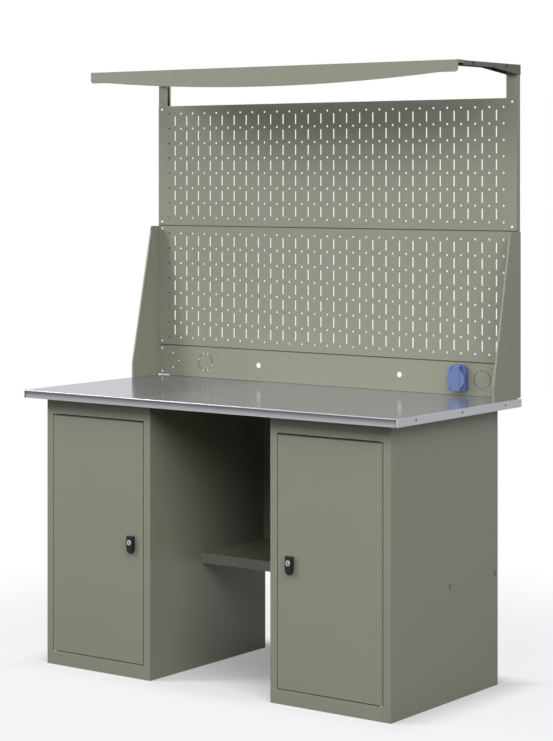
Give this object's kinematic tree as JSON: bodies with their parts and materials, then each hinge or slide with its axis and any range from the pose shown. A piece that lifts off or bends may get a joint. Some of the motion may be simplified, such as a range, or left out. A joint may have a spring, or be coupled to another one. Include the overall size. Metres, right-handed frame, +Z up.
{
  "type": "workbench with cabinet",
  "caption": "Steel workbench on two lockable cabinets, with a middle shelf, a perforated back wall, a socket strip and a hood.",
  "frame": {"origin": "on the floor, under the middle of the worktop", "axes": "+Z up, +X to the right, the front looks along -Y"},
  "size_m": [1.4018, 0.684, 1.8708],
  "materials": {
    "olive_paint": "satin powder coat",
    "board": "raw chipboard",
    "worktop_steel": "rolled sheet",
    "cap_screw_steel": "dark",
    "zinc_steel": "zinc plated",
    "black_plastic": "satin",
    "nylon": "natural",
    "plug_plastic": "satin",
    "socket_blue": "satin",
    "lid_blue": "satin",
    "carrier_plastic": "satin",
    "brass": "plain"
  },
  "bodies": {
    "root": {"worktop_board": "board", "worktop_cover": "worktop_steel", "worktop_end_cap_left": "worktop_steel", "worktop_end_cap_right": "worktop_steel", "end_cap_screws": "cap_screw_steel", "middle_shelf": "olive_paint", "knee_panel": "olive_paint", "shelf_bolts": "zinc_steel", "shelf_nuts": "zinc_steel", "side_plugs": "plug_plastic", "left_post": "olive_paint", "right_post": "olive_paint", "left_side_plate": "olive_paint", "right_side_plate": "olive_paint", "socket_strip": "olive_paint", "lower_perforated_panel": "olive_paint", "upper_perforated_panel": "olive_paint", "back_wall_screws": "zinc_steel", "wood_screws": "zinc_steel", "hood": "olive_paint", "left_hood_arm": "olive_paint", "right_hood_arm": "olive_paint", "hood_screws": "zinc_steel", "socket_housing": "socket_blue", "socket_contact_carrier": "carrier_plastic", "socket_contacts": "brass", "socket_earth_clips": "brass", "socket_screws": "zinc_steel", "socket_lid_pin": "zinc_steel", "left_cabinet_outer_side": "olive_paint", "left_cabinet_inner_side": "olive_paint", "left_cabinet_back": "olive_paint", "left_cabinet_base": "olive_paint", "left_cabinet_top": "olive_paint", "left_cabinet_shelf": "olive_paint", "left_shelf_clips": "olive_paint", "left_hinge_washer": "nylon", "right_cabinet_outer_side": "olive_paint", "right_cabinet_inner_side": "olive_paint", "right_cabinet_back": "olive_paint", "right_cabinet_base": "olive_paint", "right_cabinet_top": "olive_paint", "right_cabinet_shelf": "olive_paint", "right_shelf_clips": "olive_paint", "right_hinge_washer": "nylon"},
    "left_door": {"left_door_panel": "olive_paint", "left_door_stiffener": "olive_paint", "left_hinge_pins": "zinc_steel", "left_lock_handle": "black_plastic", "left_lock_nut": "zinc_steel"},
    "left_lock": {"left_lock_cylinder": "zinc_steel", "left_lock_cam": "zinc_steel"},
    "right_door": {"right_door_panel": "olive_paint", "right_door_stiffener": "olive_paint", "right_hinge_pins": "zinc_steel", "right_lock_handle": "black_plastic", "right_lock_nut": "zinc_steel"},
    "right_lock": {"right_lock_cylinder": "zinc_steel", "right_lock_cam": "zinc_steel"},
    "socket_lid": {"socket_lid": "lid_blue"}
  },
  "joints": [
    {"name": "left_door_hinge", "type": "hinge", "parent": "root", "child": "left_door", "pos_m": [-0.6129, -0.2892, 0.414], "axis": [0, 0, -1], "range_deg": [0, 110]},
    {"name": "left_lock_turn", "type": "hinge", "parent": "left_door", "child": "left_lock", "pos_m": [-0.2991, -0.2934, 0.414], "axis": [0, -1, 0], "range_deg": [0, 90]},
    {"name": "right_door_hinge", "type": "hinge", "parent": "root", "child": "right_door", "pos_m": [0.6129, -0.2892, 0.414], "axis": [0, 0, 1], "range_deg": [0, 110]},
    {"name": "right_lock_turn", "type": "hinge", "parent": "right_door", "child": "right_lock", "pos_m": [0.2991, -0.2934, 0.414], "axis": [0, 1, 0], "range_deg": [0, 90]},
    {"name": "socket_lid_hinge", "type": "hinge", "parent": "root", "child": "socket_lid", "pos_m": [0.4956, 0.299, 0.9495], "axis": [-1, 0, 0], "range_deg": [0, 100]}
  ]
}
